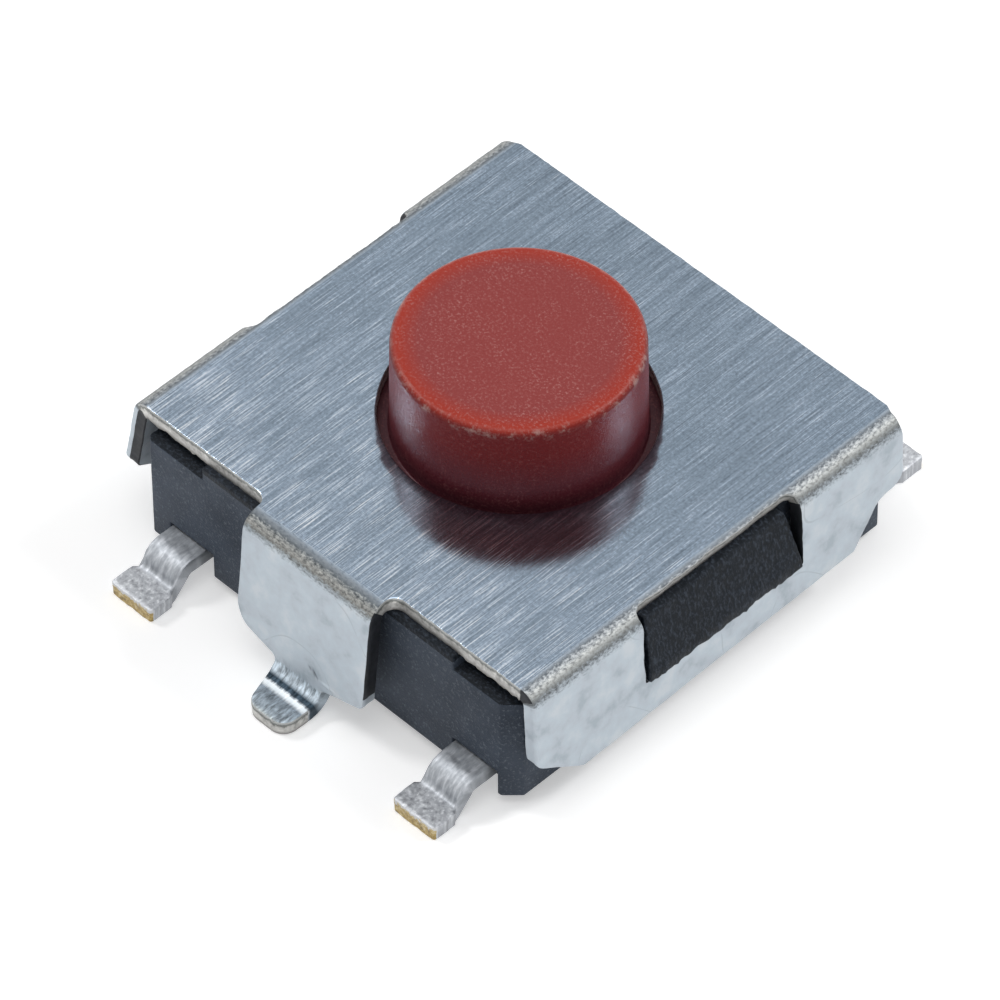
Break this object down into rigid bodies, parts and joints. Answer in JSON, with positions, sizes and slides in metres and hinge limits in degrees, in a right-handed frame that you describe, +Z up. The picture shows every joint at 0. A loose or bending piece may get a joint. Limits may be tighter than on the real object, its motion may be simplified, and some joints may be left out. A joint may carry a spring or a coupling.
{
  "type": "tactile push button switch",
  "caption": "Low surface-mount tactile switch with a round red push button in a folded sheet metal cover over a dark moulded base, with solder leads and a ground foot.",
  "frame": {"origin": "on the solder plane, on the button's axis", "axes": "+Z up, out of the button. The lead rows run along Y at either side of X, and the ground foot points to -Y. The base's marked corners are on +X"},
  "size_m": [0.0066, 0.0078, 0.0031],
  "materials": {
    "base_plastic": "moulded glass-filled nylon, dark blue-grey, satin",
    "contact_metal": "silver plated brass strip, satin",
    "dome_steel": "thin stainless spring steel, bright",
    "film": "amber polyimide film",
    "button_plastic": "moulded nylon, brick red, satin",
    "cover_steel": "plated steel sheet, brushed along Y on the plate"
  },
  "bodies": {
    "housing": {"base_housing": "base_plastic", "centre_contact": "contact_metal", "rim_contact": "contact_metal", "snap_dome": "dome_steel", "sealing_film": "film", "shield_cover": "cover_steel"},
    "button": {"push_button": "button_plastic"}
  },
  "joints": [
    {"name": "button_press", "type": "slide", "parent": "housing", "child": "button", "axis": [0, 0, -1], "range_m": [0, 0.00025], "stiffness_N_per_m": 10000, "deforming": ["snap_dome", "sealing_film"]}
  ]
}
